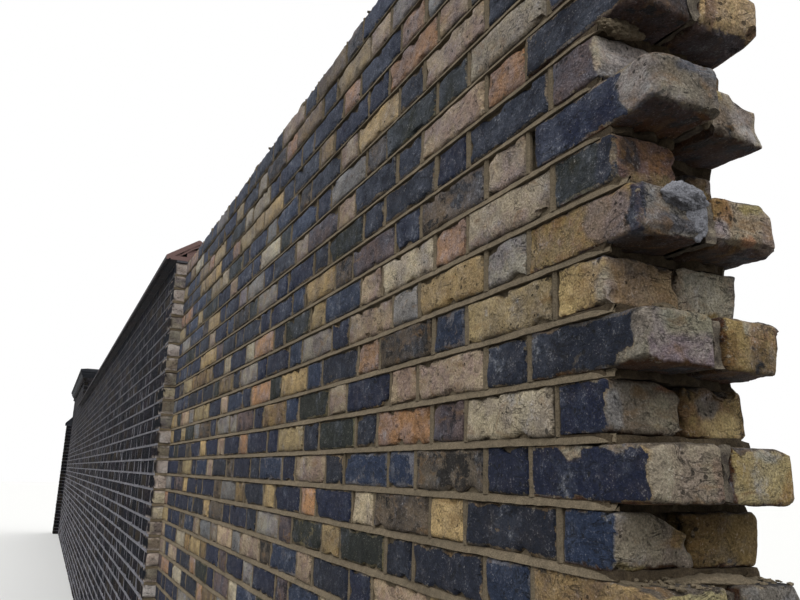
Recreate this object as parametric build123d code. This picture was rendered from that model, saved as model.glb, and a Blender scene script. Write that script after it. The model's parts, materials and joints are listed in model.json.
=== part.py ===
from build123d import *
import os
from math import cos, sin

# Driving dimensions, in millimetres.
# The wall is set out along X from the toothed end at x = 0, with the street on the -Y side.

# Stock bricks and their joints
brick_length = 220.0
brick_width = 105.0
brick_height = 65.0
bed_joint = 11.0
perpend = 11.0
collar_joint = 18.0

# Lengths of the three builds and the courses in each
new_length = 3400.0
old_length = 11200.0
raised_length = 4900.0
new_courses = 35
old_courses = 35
raised_courses = 41
buttress_courses = 33

# Toothed end: worn arrises, raked bed joints and the collar joint held back from the brick ends
worn_arris = 3.0
bed_rake = 9.0
collar_rake = 40.0
bat_length = 94.0
bat_setback = 6.0
front_bat_depth = 110.0
rear_bat_depth = 104.0
bat_depth_swing = 2.0
break_lean = 0.08
break_twist = 0.20

# One front stretcher, a little longer than the others, was laid further out
long_course = 26
long_reach = 29.5
long_extra = 11.0

# Under it the front bat stands out past the toothing line and the rear one is broken back
uneven_course = 25
front_bat_stand = 26.0
rear_bat_loss = 23.0

# The older build stands proud of the new face, and its end has open bed joints
old_face_proud = 57.5
open_joint_depth = 14.0

# Hollow saddleback coping of fired clay
coping_overhang = 55.0
coping_ridge_height = 133.0
coping_edge_height = 24.0
coping_wall = 24.0
coping_unit = 450.0
coping_joint = 8.0
coping_joint_setback = 4.0
ridge_radius = 14.0
drip_inset = 18.0
drip_width = 10.0
drip_depth = 6.0
coping_stretches = 4

# Raised length: a brick and a half thick, under an oversailing course and two courses of cap stones
corbel_overhang = 30.0
cap_joint = 8.0
cap_stone = 980.0
lower_cap_height = 100.0
lower_cap_foot_overhang = 38.0
lower_cap_overhang = 74.0
lower_cap_fillet = 34.0
upper_cap_height = 78.0
upper_cap_overhang = 92.0
upper_cap_edge = 48.0
upper_cap_flat_inset = 120.0

# Buttress on the street face at the far end
buttress_projection = 115.0
buttress_length = 451.0
weathering_lip = 28.0
weathering_edge = 52.0
weathering_rise = 150.0

# Sizes that follow from the bond
gauge = brick_height + bed_joint
wall_thickness = 2 * brick_width + collar_joint
raised_thickness = brick_length + perpend + brick_width
tooth = (brick_length - brick_width) / 2
tooth_seat = brick_length - tooth
long_tooth = tooth + long_reach
long_seat = brick_length + long_extra - long_tooth
rear_y = brick_width + collar_joint

# Heights of the tops of the brickwork
new_height = new_courses * gauge - bed_joint
old_height = old_courses * gauge - bed_joint
raised_height = raised_courses * gauge - bed_joint
buttress_height = buttress_courses * gauge - bed_joint

# Stations along the wall and across it
junction_x = -new_length
raised_x = junction_x - old_length
far_x = raised_x - raised_length
old_face = -old_face_proud
old_middle = old_face + wall_thickness / 2
raised_middle = old_face + raised_thickness / 2

# The row's origin is the middle of the underside of everything
low_y = old_face - max(buttress_projection + weathering_lip, upper_cap_overhang)
high_y = old_face + raised_thickness + upper_cap_overhang
low_x = far_x - upper_cap_overhang
datum = Location((-(low_x + long_tooth) / 2, -(low_y + high_y) / 2, 0))


def block(x0, x1, y0, y1, z0, z1):
    """A plain block between two corners."""
    size = Box(x1 - x0, y1 - y0, z1 - z0, align=(Align.MIN, Align.MIN, Align.MIN))
    return Pos(x0, y0, z0) * size


def is_toothed(course):
    """Every other course, from the lowest, runs out past the recessed ones."""
    return course % 2 == 0


def projecting_stretcher(course, rear):
    """The room one projecting stretcher takes, from its seat in the wall to its outer end."""
    foot = course * gauge
    y0 = rear_y if rear else 0
    if course == long_course and not rear:
        return block(-long_seat, long_tooth, y0, y0 + brick_width, foot, foot + brick_height)
    return block(-tooth_seat, tooth, y0, y0 + brick_width, foot, foot + brick_height)


def tooth_brick(course, rear):
    """A stretcher left projecting for the next length, with its end arrises worn."""
    brick = projecting_stretcher(course, rear)
    end = brick.faces().sort_by(Axis.X)[-1]
    return chamfer(end.edges(), worn_arris)


def tooth_course(course):
    """The front and the rear stretcher of one projecting course."""
    return Compound([tooth_brick(course, False), tooth_brick(course, True)])


def snapped_bat(course, rear):
    """Half of a header snapped in two, its broken end two planes that meet at a ridge."""
    foot = course * gauge
    swing = sin(2.4 * course + 1.7 * rear)
    sway = cos(1.9 * course + 0.8 * rear)
    depth = (rear_bat_depth if rear else front_bat_depth) + bat_depth_swing * swing
    outer = -bat_setback
    if course == uneven_course:
        outer += -rear_bat_loss if rear else front_bat_stand
    bat = block(-bat_setback - bat_length, outer, 0, brick_length, foot, foot + brick_height)
    ridge = Vector(-bat_setback - bat_length * (0.3 + 0.15 * sway), depth, foot + brick_height / 2)
    for side in (-1, 1):
        lean = Vector(side * break_twist * (1 + 0.4 * swing), 1, break_lean * sway)
        bat = split(bat, bisect_by=Plane(origin=ridge, z_dir=lean), keep=Keep.BOTTOM)
    if rear:
        bat = Pos(0, wall_thickness, 0) * mirror(bat, about=Plane.XZ)
    return bat


def bats(rear):
    """The snapped headers of every recessed course, on one face of the wall."""
    return Compound([snapped_bat(c, rear) for c in range(new_courses) if not is_toothed(c)])


def new_wall():
    """The new length in one mass, with seats for the teeth and bats between its bed joints."""
    mass = block(junction_x, -bed_rake, 0, wall_thickness, 0, new_height)
    seats = []
    for course in range(new_courses):
        foot = course * gauge
        if is_toothed(course):
            seats.append(projecting_stretcher(course, False))
            seats.append(projecting_stretcher(course, True))
            seats.append(block(-collar_rake, 0, 0, wall_thickness, foot, foot + brick_height))
        else:
            back = -bat_setback - bat_length
            seats.append(block(back, 0, 0, wall_thickness, foot, foot + brick_height))
    return mass - seats


def old_wall():
    """The older length, whose near end shows worn brick ends over open bed joints."""
    mass = block(raised_x, junction_x, old_face, old_face + wall_thickness, 0, old_height)
    joints = []
    for course in range(1, old_courses):
        top = course * gauge
        joints.append(block(junction_x - open_joint_depth, junction_x, old_face, 0, top - bed_joint, top))
    return mass - joints


def coping_bed():
    """The mortar bed under the coping, struck back a little from the wall's faces."""
    y0 = old_face + coping_joint_setback
    y1 = old_face + wall_thickness - coping_joint_setback
    return block(raised_x, junction_x, y0, y1, old_height, old_height + bed_joint)


def saddleback(inset):
    """The coping's outer section, drawn in by an inset all round, on the YZ plane."""
    half = wall_thickness / 2 + coping_overhang - inset
    pitch = (coping_ridge_height - coping_edge_height) / (wall_thickness / 2 + coping_overhang)
    edge = coping_edge_height - inset * pitch
    outline = Polyline(
        (-half, inset),
        (-half, edge),
        (0, coping_ridge_height - inset),
        (half, edge),
        (half, inset),
        close=True,
    )
    return make_face(outline)


def coping_section():
    """Fired clay section: rounded ridge, hollow heart and a drip under each edge."""
    half = wall_thickness / 2 + coping_overhang
    solid = saddleback(0)
    ridge = solid.vertices().sort_by(Axis.Y)[-1]
    solid = fillet(ridge, ridge_radius)
    pitch = (coping_ridge_height - coping_edge_height) / half
    heart_top = coping_ridge_height - coping_wall * (1 + pitch * pitch) ** 0.5
    heart_half = (heart_top - coping_wall) / pitch
    heart = Polyline((-heart_half, coping_wall), (0, heart_top), (heart_half, coping_wall), close=True)
    section = solid - make_face(heart)
    for side in (-1, 1):
        drip = Pos(side * (half - drip_inset), 0) * Rectangle(drip_width, 2 * drip_depth)
        section -= drip
    return section


def coping_run(section, x0, x1):
    """A section laid on the coping bed from x0 to x1."""
    seat = Plane(origin=(x0, old_middle, old_height + bed_joint), x_dir=(0, 1, 0), z_dir=(1, 0, 0))
    return extrude(seat * section, amount=x1 - x0, dir=(1, 0, 0))


coping_count = round(old_length / (coping_unit + coping_joint))
coping_pitch = old_length / coping_count


def coping_place(index):
    """The two ends of one coping unit, counted from the junction."""
    near = junction_x - index * coping_pitch
    return near - coping_pitch + coping_joint, near


def coping_stretch(indices):
    """Neighbouring coping units, each a piece of its own."""
    section = coping_section()
    return Compound([coping_run(section, *coping_place(i)) for i in indices])


def coping_joints():
    """Mortar between the units, pointed a little back from their faces."""
    section = saddleback(coping_joint_setback)
    runs = []
    for index in range(coping_count):
        far = coping_place(index)[0]
        runs.append(Pos(0, 0, -coping_joint_setback) * coping_run(section, far - coping_joint, far))
    return Compound(runs)


def raised_wall():
    """The taller length at the far end."""
    return block(far_x, raised_x, old_face, old_face + raised_thickness, 0, raised_height)


def raised_plan(overhang, z):
    """The plan of the raised length, spread by an overhang, at a height."""
    size = Rectangle(raised_length + 2 * overhang, raised_thickness + 2 * overhang)
    return Pos(raised_x - raised_length / 2, raised_middle, z) * size


def raised_slab(overhang, z0, z1):
    """A course over the raised length that oversails all round."""
    return extrude(raised_plan(overhang, z0), amount=z1 - z0)


corbel_z = raised_courses * gauge
lower_cap_z = corbel_z + gauge
upper_cap_z = lower_cap_z + lower_cap_height


def raised_beds():
    """Mortar under the oversailing course and over it."""
    lower = raised_slab(-coping_joint_setback, raised_height, corbel_z)
    upper = raised_slab(corbel_overhang - coping_joint_setback, corbel_z + brick_height, lower_cap_z)
    return Compound([lower, upper])


def oversailing_course():
    """The brick course that steps out under the cap stones."""
    return raised_slab(corbel_overhang, corbel_z, corbel_z + brick_height)


def cut_stones(course):
    """A capping course cut into stones of equal length, a joint apart."""
    box = course.bounding_box()
    count = round((box.max.X - box.min.X) / (cap_stone + cap_joint))
    pitch = (box.max.X - box.min.X + cap_joint) / count
    stones = []
    for index in range(count):
        x0 = box.min.X + index * pitch
        x1 = x0 + pitch - cap_joint
        reach = block(x0, x1, box.min.Y, box.max.Y, box.min.Z, box.max.Z)
        stones.append((course & reach).solids()[0])
    return stones


def lower_cap():
    """Lower cap stones, splayed out from the oversailing course to a square edge."""
    splay_top = upper_cap_z - lower_cap_fillet
    foot = raised_plan(lower_cap_foot_overhang, lower_cap_z)
    brow = raised_plan(lower_cap_overhang, splay_top)
    splay = loft([foot, brow])
    edge = raised_slab(lower_cap_overhang, splay_top, upper_cap_z)
    return Compound(cut_stones(splay + edge))


def upper_cap():
    """Upper cap stones, square edged and weathered on top."""
    edge_top = upper_cap_z + upper_cap_edge
    edge = raised_slab(upper_cap_overhang, upper_cap_z, edge_top)
    eaves = raised_plan(upper_cap_overhang, edge_top)
    crown = raised_plan(upper_cap_overhang - upper_cap_flat_inset, upper_cap_z + upper_cap_height)
    return Compound(cut_stones(edge + loft([eaves, crown])))


def buttress():
    """The buttress that stands against the street face at the far end."""
    return block(far_x, far_x + buttress_length, old_face - buttress_projection, old_face, 0, buttress_height)


def buttress_weathering():
    """The sloping stone that sheds water from the buttress."""
    foot = buttress_height + bed_joint
    front = old_face - buttress_projection - weathering_lip
    outline = Polyline(
        (front, foot),
        (old_face, foot),
        (old_face, foot + weathering_edge + weathering_rise),
        (front, foot + weathering_edge),
        close=True,
    )
    side = Plane(origin=(far_x, 0, 0), x_dir=(0, 1, 0), z_dir=(1, 0, 0))
    return extrude(side * make_face(outline), amount=buttress_length, dir=(1, 0, 0))


def buttress_bed():
    """The mortar bed under the weathering."""
    y0 = old_face - buttress_projection + coping_joint_setback
    return block(far_x, far_x + buttress_length, y0, old_face, buttress_height, buttress_height + bed_joint)


def all_parts():
    """Every sub-part by name."""
    parts = {"new_wall": new_wall(), "front_bats": bats(0), "rear_bats": bats(1)}
    toothed = [c for c in range(new_courses) if is_toothed(c)]
    for number, course in enumerate(toothed, start=1):
        parts[f"tooth_course_{number:02d}"] = tooth_course(course)
    parts["old_wall"] = old_wall()
    parts["coping_bed"] = coping_bed()
    parts["coping_near_end"] = coping_stretch([0])
    rest = list(range(1, coping_count))
    share = -(-len(rest) // coping_stretches)
    for number in range(coping_stretches):
        indices = rest[number * share:(number + 1) * share]
        parts[f"coping_stretch_{number + 1}"] = coping_stretch(indices)
    parts["coping_joints"] = coping_joints()
    parts["raised_wall"] = raised_wall()
    parts["raised_beds"] = raised_beds()
    parts["oversailing_course"] = oversailing_course()
    parts["lower_cap_stones"] = lower_cap()
    parts["upper_cap_stones"] = upper_cap()
    parts["buttress"] = buttress()
    parts["buttress_bed"] = buttress_bed()
    parts["buttress_weathering"] = buttress_weathering()
    return parts


os.makedirs("parts", exist_ok=True)
for name, shape in all_parts().items():
    export_step(datum * shape, f"parts/{name}.step")
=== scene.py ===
import json
import math
import random

import bmesh
import bpy
from mathutils import Matrix, Vector, noise


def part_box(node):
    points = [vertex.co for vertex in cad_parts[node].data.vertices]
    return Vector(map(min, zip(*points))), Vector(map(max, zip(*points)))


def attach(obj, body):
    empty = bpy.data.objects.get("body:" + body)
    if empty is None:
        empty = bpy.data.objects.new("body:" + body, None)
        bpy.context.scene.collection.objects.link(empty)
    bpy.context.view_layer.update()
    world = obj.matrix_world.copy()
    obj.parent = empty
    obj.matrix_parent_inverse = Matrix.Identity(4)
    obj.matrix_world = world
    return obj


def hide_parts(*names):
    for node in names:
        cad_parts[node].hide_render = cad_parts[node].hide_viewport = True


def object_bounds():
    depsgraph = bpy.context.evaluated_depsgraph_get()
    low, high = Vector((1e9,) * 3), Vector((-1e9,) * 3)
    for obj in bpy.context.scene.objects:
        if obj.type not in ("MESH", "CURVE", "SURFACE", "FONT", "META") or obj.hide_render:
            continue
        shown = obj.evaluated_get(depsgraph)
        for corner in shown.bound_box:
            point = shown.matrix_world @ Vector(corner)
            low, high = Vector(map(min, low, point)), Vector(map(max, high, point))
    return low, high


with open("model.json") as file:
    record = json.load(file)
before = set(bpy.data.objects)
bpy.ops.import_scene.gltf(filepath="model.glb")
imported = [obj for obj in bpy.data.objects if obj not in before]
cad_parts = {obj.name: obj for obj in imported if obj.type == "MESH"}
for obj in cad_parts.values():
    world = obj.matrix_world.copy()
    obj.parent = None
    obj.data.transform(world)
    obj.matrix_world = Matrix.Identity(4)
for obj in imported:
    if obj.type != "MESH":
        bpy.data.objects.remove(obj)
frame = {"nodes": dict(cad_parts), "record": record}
cad_low, cad_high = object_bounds()

# Without a seed the noise vectors, which shape the wear, would differ from one run to the next
noise.seed_set(1)

# Sizes are in metres, read from the frame where it has them.
first_low, first_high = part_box("tooth_course_01")
second_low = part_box("tooth_course_02")[0]
new_low, new_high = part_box("new_wall")
old_low, old_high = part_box("old_wall")
raised_low, raised_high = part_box("raised_wall")
oversail_low, oversail_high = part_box("oversailing_course")
buttress_low, buttress_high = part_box("buttress")
long_low, long_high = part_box("tooth_course_14")

# The bond: stock bricks laid with a stretcher and a header in turn
brick_length = first_high.x - first_low.x
brick_height = first_high.z - first_low.z
gauge = (second_low.z - first_low.z) / 2
bed = gauge - brick_height
brick_width = 0.105
perpend = 0.011
tooth = (brick_length - brick_width) / 2
tooth_seat = brick_length - tooth
bat_length = 0.094
bat_setback = 0.006
bat_gap = 0.005
line_x = first_high.x - tooth
long_course = round(long_low.z / gauge)
uneven_course = long_course - 1
front_bat_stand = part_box("front_bats")[1].x - line_x + bat_setback
rear_bat_loss = 0.023
front_bat_depth = 0.112
rear_bat_depth = 0.107
uneven_bat_depth = 0.099
long_extra = 0.011
front_y = new_low.y
wall_thickness = new_high.y - new_low.y
new_courses = round((new_high.z + bed) / gauge)
old_courses = round((old_high.z + bed) / gauge)
raised_courses = round((raised_high.z + bed) / gauge)
buttress_courses = round((buttress_high.z + bed) / gauge)

# How far the mortar lies behind the brick faces, and how the struck joints stand
core_inset = 0.0085
brick_inset = 0.0015
facing_depth = 0.06
arris_margin = 0.0042
arris_drop = 0.0038
struck_top = 0.0052
struck_middle = 0.0018
struck_foot = -0.0004
struck_back = 0.009
near_reach = 0.80
eye_cell = 0.0042
near_cell = 0.007
far_cell = 0.011
worn_cell = 0.015
bed_depth = 0.11
touch = 1e-6
slice_touch = 1e-5
smooth_degrees = 48

# The steps in which struck joints are cut along their run, and the widths that upright joints are drawn from
near_step, new_step, raised_step, old_step = 0.012, 0.042, 0.16, 0.25
near_widths, new_widths, raised_widths, old_widths = (0.009, 0.017), (0.006, 0.011), (0.007, 0.011), (0.006, 0.010)

# The courses at eye level, which are cut finer than the rest
eye_courses = range(18, 29)
near_courses = range(12, 32)
fine_bed_courses = range(14, 30)
fine_top_courses = range(14, 19)

# How far from its near end the old wall's bricks turn brown, and how short a cut brick may be
brown_run = 4.9
least_piece = 0.03
least_closer = 0.04
header_limit = 0.16

# The camera stands before the wall, just past the teeth, and looks back along it
camera_stand = Vector((0.6714, -0.5852, 1.5407))
camera_yaw = math.radians(24.859)
camera_pitch = math.radians(13.369)
camera_roll = math.radians(1.696)
camera_focal_px = 740.67
picture_width_px = 800
sensor_mm = 36.0


def at(x, y, z):
    """A point measured from the toothing line, the new front face and the foot."""
    return Vector((line_x + x, front_y + y, z))


def linear(hue):
    """An sRGB hex colour as linear red, green and blue, with a full alpha."""
    parts = [int(hue[i:i + 2], 16) / 255 for i in (1, 3, 5)]
    return *(p / 12.92 if p <= 0.04045 else ((p + 0.055) / 1.055) ** 2.4 for p in parts), 1.0


# What each firing in the clamp did to a brick: its clay, the second colour it is clouded with,
# the burnt skin over it and how much of the brick that skin covers
firings = {
    "blue_black": ("#937f5e", "#55575f", "#111b35", 0.92),
    "charcoal": ("#87755a", "#4b4a4b", "#171e2e", 0.82),
    "slate": ("#77757a", "#4f535f", "#263249", 0.68),
    "green_black": ("#736c50", "#47433a", "#1e231f", 0.76),
    "umber": ("#665a4c", "#463f39", "#231f1c", 0.40),
    "plum": ("#6b5c5a", "#4b4348", "#262127", 0.36),
    "yellow": ("#c0a87a", "#a08c68", "#2a2a2c", 0.10),
    "buff": ("#b9a68a", "#a08a7c", "#302d2c", 0.10),
    "ochre": ("#98815a", "#725f4a", "#282420", 0.16),
    "orange": ("#bb9068", "#a48a7c", "#3a3230", 0.08),
    "greige": ("#9d9687", "#837b78", "#403c3d", 0.08),
    "mauve": ("#8a7d7f", "#9a9188", "#403a40", 0.08),
    "cream": ("#cabc9e", "#ac9f8c", "#4b453c", 0.03),
    "ash": ("#8f8d8a", "#73716f", "#3a393b", 0.10),
    "end_yellow": ("#a89b72", "#968456", "#50432f", 0.10),
    "end_cream": ("#aaa18c", "#9d8b74", "#5a4c40", 0.08),
    "end_ochre": ("#9b8355", "#86694a", "#4a3a26", 0.14),
    "end_orange": ("#8e6845", "#6a5047", "#3a2a26", 0.24),
    "end_stone": ("#988f7d", "#857a6e", "#4c4645", 0.10),
    "end_mauve": ("#98878a", "#9c9088", "#5d4c50", 0.12),
    "end_dun": ("#8b7b6c", "#7b6b64", "#443a36", 0.16),
    "end_straw": ("#bfa978", "#a8916a", "#5a4a34", 0.08),
    "end_sand": ("#dac28b", "#bfa274", "#5a4a34", 0.06),
    "end_clay": ("#a9916f", "#957a59", "#4a3a26", 0.12),
    "end_burnt": ("#4b3626", "#33271f", "#1c1511", 0.35),
    "end_grey": ("#7f7b73", "#6d6963", "#403d3c", 0.18),
    "end_plum": ("#2f2a38", "#26222f", "#1c1a24", 0.45),
    "end_slate": ("#5d5c60", "#6f6c69", "#33343c", 0.35),
    "end_white": ("#b6ada4", "#8c7d72", "#55524f", 0.07),
    "end_pink": ("#ab917b", "#a07a60", "#6b5145", 0.08),
    "end_green": ("#989080", "#878472", "#4f4c41", 0.10),
    "end_tan": ("#7d7364", "#6e6153", "#40382f", 0.18),
    "end_pitted": ("#826b43", "#6a5333", "#31251a", 0.30),
    # Painted shade: near-black patches laid in bites and holes, where shade falls
    "hole": ("#16110d", "#120e0b", "#0c0a09", 0.30),
    # Painted shade: warm brown clay darkened for faces that look down, for the rear bricks' sides that face the gap,
    # and in a bite
    "underside": ("#482b14", "#34200f", "#1b130e", 0.35),
    # The old wall's firings: dark with soot, and the blue tint of the darkest ones is painted sky light
    "sooted": ("#21222c", "#1a1c24", "#0e1118", 0.70),
    "sooted_umber": ("#2f2a28", "#231f20", "#131215", 0.42),
    "sooted_plum": ("#28242d", "#1f1e25", "#121218", 0.48),
    "sooted_yellow": ("#453e36", "#322e2a", "#1b1919", 0.26),
    # Worn buff clay, lightened as painted light: on the old wall's end, which faces the open sky, and on a bat's end
    # in shade
    "worn_buff": ("#d8ccc2", "#b8aaa0", "#5d5957", 0.08),
}
new_mix = {
    "blue_black": 27, "charcoal": 15, "slate": 11, "green_black": 5, "umber": 6, "plum": 4, "yellow": 12,
    "buff": 9, "ochre": 5, "orange": 6, "greige": 4, "mauve": 2, "cream": 4, "ash": 3,
}
# The old wall's mixes take the sooted firings, whose blue tint is painted sky light
old_mix = {"sooted": 52, "sooted_umber": 20, "sooted_plum": 20, "sooted_yellow": 8}
brown_mix = {"sooted": 30, "sooted_umber": 36, "sooted_plum": 14, "sooted_yellow": 20}


def node_adder(tree):
    """The function that adds a node to this tree: its kind, with its mode or attribute after a dot, then its
    open inputs in order. Each is a value, a hex colour, a socket or a node, which gives its first open output;
    None leaves an input as it is. Noise takes its place, scale, detail, roughness, lacunarity and distortion."""
    modes = {"Mix": "data_type", "Attribute": "attribute_name"}

    def add(kind, *values):
        kind, _, mode = kind.partition(".")
        made = tree.nodes.new("ShaderNode" + kind)
        if mode:
            setattr(made, modes.get(kind, "operation"), mode)
        for socket, value in zip([s for s in made.inputs if s.enabled], values):
            if isinstance(value, bpy.types.Node):
                value = next(s for s in value.outputs if s.enabled)
            if isinstance(value, bpy.types.NodeSocket):
                tree.links.new(value, socket)
            elif value is not None:
                socket.default_value = linear(value) if isinstance(value, str) else value
        return made
    return add


def new_material(name):
    material = bpy.data.materials.new(name)
    material.use_nodes = True
    return material, node_adder(material.node_tree)


def dress_shader(material, colour, bump=None, roughness=0.9, sheen=None):
    """Gives the shader its colour and bump, and on its own sockets what is the same all over."""
    shader = material.node_tree.nodes["Principled BSDF"]
    for key, node in (("Base Color", colour), ("Normal", bump)):
        if node:
            output = next(s for s in node.outputs if s.enabled)
            material.node_tree.links.new(output, shader.inputs[key])
    shader.inputs["Roughness"].default_value = roughness
    if sheen is not None:
        shader.inputs["Specular IOR Level"].default_value = sheen
    return material


def stock_brick(name, soot, bloom, joint_hue, stain, grit_show, sheen):
    """Hand-moulded stock brick, sanded and clamp fired: clay clouded in two colours under a matte burnt
    skin that flakes at the arrises, with pits, drag creases, pale grit and mortar left at the margins."""
    material, add = new_material(name)
    place = add("TexCoord").outputs["Object"]
    spot = add("VectorMath.ADD", place, add("Attribute.shift").outputs["Vector"])
    body, blush, skin = add("Attribute.body"), add("Attribute.blush"), add("Attribute.skin")
    ends, beds, raw = add("SeparateXYZ", add("Attribute.wear").outputs["Vector"]).outputs
    margin = add("Math.MINIMUM", ends, beds)

    # Clouds over 60 mm, blotches over 15 mm, sanding under 2 mm
    broad = add("TexNoise", spot, 15, 5, 0.6)
    blotch = add("TexNoise", spot, 64, 6, 0.72)
    ragged = add("TexNoise", spot, 23, 9, 0.74)
    grit = add("TexNoise", spot, 330, 3, 0.7)
    turn = add("MapRange", add("Math.MULTIPLY_ADD", blotch, 0.5, broad), 0.67, 0.83)
    tone = add("Mix.RGBA", turn, body, blush)

    # The burnt skin holds where the firing gave enough of it and is lost first near the arrises
    hold = add("Math.MULTIPLY_ADD", skin.outputs["Alpha"], 0.5, -0.25)
    hold = add("Math.ADD", hold, ragged)
    hold = add("Math.SUBTRACT", hold, add("MapRange", margin, 0, 0.008, 0.26, 0))
    covered = add("MapRange", add("Math.SUBTRACT", hold, raw), 0.48, 0.515)
    covered = add("Math.MULTIPLY", covered, add("MapRange", blotch, 0.42, 0.70, 1, 0.90))
    tone = add("Mix.RGBA", covered, tone, skin)
    laid = add("Mapping", spot, None, None, (1, 1, 1.9))
    folds = add("TexNoise", laid, 19, 5, 0.6, None, 1.1)
    rust = add("MapRange", folds, 0.54, 0.68, 0, stain)
    rust = add("Math.MULTIPLY", rust, add("Math.SUBTRACT", 1, covered))
    tone = add("Mix.RGBA", rust, tone, "#7f6038")
    strewn = add("Math.MULTIPLY_ADD", blotch, 0.55, grit)
    tone = add("Mix.RGBA", add("MapRange", strewn, 0.88, 1, 0, grit_show), tone, "#918e8a")

    # Lime bloom in thin clouds, and mortar smeared over the margins in ragged tongues
    veil = add("TexNoise", spot, 11, 9, 0.74)
    washed = add("MapRange", add("SeparateXYZ", place).outputs[2], 1.6, 2.6, 0, 0.22)
    film = add("MapRange", add("Math.ADD", veil, washed), 0.52, 0.74, 0, bloom * 1.2)
    lime = add("MapRange", add("Math.MULTIPLY_ADD", blotch, 0.6, veil), 0.92, 1.06, 0, bloom * 1.8)
    reach = add("MapRange", blotch, 0.50, 0.74, 0, 0.011)
    smear = add("MapRange", add("Math.SUBTRACT", reach, margin), 0, 0.0012, 0, 0.85)
    for share, hue in ((film, "#7f8798"), (lime, "#a6a8ac"), (smear, joint_hue)):
        tone = add("Mix.RGBA", share, tone, hue)

    # Pits where ash burnt out, 1 to 5 mm across and in swarms, and creases from the mould
    frayed = add("VectorMath.ADD", spot, add("VectorMath.SCALE", blotch.outputs["Color"], 0.012))
    cells = add("TexVoronoi", frayed, 105)
    size = add("MapRange", add("SeparateXYZ", cells.outputs["Color"]), 0.6, 1, 0, 0.40)
    size = add("Math.MULTIPLY", size, add("MapRange", broad, 0.42, 0.60, 0.25, 1.1))
    pit = add("MapRange", add("Math.SUBTRACT", size, cells), 0, 0.08)
    fold = add("Math.ABSOLUTE", add("Math.SUBTRACT", folds, 0.5))
    drag = add("MapRange", ragged, 0.44, 0.60)
    crease = add("Math.MULTIPLY", add("MapRange", fold, 0, 0.020, 1, 0), drag)

    # What all this does to the colour: mottle, grit, pits and creases darkened as painted shade in the hollows, a
    # painted shadow line at the joint and old soot
    # Pits and creases are darkened in the colour itself: painted shade in the hollows
    painted_hollow_shade = add("Math.MAXIMUM", add("Math.MULTIPLY", crease, 0.8), pit)
    grime = add("TexNoise", place, 1.9, 6, 0.62)
    dark = add("MapRange", blotch, 0.3, 0.7, 0.72, 1.38)
    for mask, near, far, at_near, at_far in (
        (grit, 0.3, 0.7, 0.50, 1.58), (painted_hollow_shade, 0, 1, 1, 0.24),
        # A painted shadow line: the colour darkens to 0.42 within 2.2 mm of the arrises, where the joint's shade
        # falls
        (margin, 0, 0.0022, 0.42, 1), (grime, 0.36, 0.66, 1, 1 - soot),
    ):
        dark = add("Math.MULTIPLY", dark, add("MapRange", mask, near, far, at_near, at_far))
    relief = blotch
    layers = ((broad, 0.8), (ragged, 0.8), (grit, 0.34), (covered, 0.16), (smear, 0.14), (pit, -0.6), (crease, -0.6))
    for layer, height in layers:
        relief = add("Math.MULTIPLY_ADD", layer, height, relief)
    bump = add("Bump", 1, 0.0065, None, relief)
    return dress_shader(material, add("VectorMath.SCALE", tone, dark), bump, 0.9, sheen)


def sand_mortar(name, hue, wet_hue, stain, fade):
    """Lime and sharp sand mortar, struck with a trowel: buff and gritty, with 1 to 2 mm grains
    that stand out, smears from the trowel and dark stains, which fade the joints high on the wall."""
    material, add = new_material(name)
    place = add("TexCoord").outputs["Object"]
    stains = add("TexNoise", place, 6, 8, 0.68)
    smears = add("TexNoise", place, 85, 6, 0.7)
    grains = add("TexNoise", place, 480, 2, 0.7)
    tint = add("Mix.RGBA", add("MapRange", smears, 0.36, 0.62), hue, wet_hue)
    high = add("Math.MULTIPLY_ADD", stains, 1.6, add("SeparateXYZ", place).outputs[2])
    shade = add("MapRange", stains, 0.32, 0.68, 1 + stain, 1 - stain)
    shade = add("Math.MULTIPLY", shade, add("MapRange", grains, 0.3, 0.7, 0.66, 1.34))
    shade = add("Math.MULTIPLY", shade, add("MapRange", high, 2.2, 3.4, 1, 1 - fade))
    bump = add("Bump", 0.9, 0.002, None, add("Math.MULTIPLY_ADD", smears, 1.6, grains))
    return dress_shader(material, add("VectorMath.SCALE", tint, shade), bump, 0.95, 0.2)


def weathered_block(name, hue, other, patch_mm, spot_hue, spots, grain_mm, end_face_hue=None):
    """A dense block that has stood in the rain: two tones in patches, lichen spots and a fine tooth.
    With an end face hue, faces that look along the wall towards the new length take that hue in ragged patches."""
    material, add = new_material(name)
    place = add("TexCoord").outputs["Object"]
    patches = add("TexNoise", place, 1000 / patch_mm, 8, 0.68)
    lichen = add("TexNoise", place, 30, 6, 0.8)
    grain = add("TexNoise", place, 1000 / grain_mm, 3, 0.7)
    tint = add("Mix.RGBA", add("MapRange", patches, 0.4, 0.62), hue, other)
    tint = add("Mix.RGBA", add("MapRange", lichen, 0.60, 0.66, 0, spots), tint, spot_hue)
    if end_face_hue:
        along = add("SeparateXYZ", add("NewGeometry").outputs["True Normal"])
        # The share of that hue grows as the face turns towards the new length
        bare = add("MapRange", add("Math.MULTIPLY_ADD", lichen, 0.8, along), 0.9, 1.25)
        tint = add("Mix.RGBA", bare, tint, end_face_hue)
    shade = add("MapRange", grain, 0.3, 0.7, 0.68, 1.32)
    bump = add("Bump", 0.9, 0.003, None, add("Math.MULTIPLY_ADD", lichen, 2, grain))
    return dress_shader(material, add("VectorMath.SCALE", tint, shade), bump, 0.85, 0.3)


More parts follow.
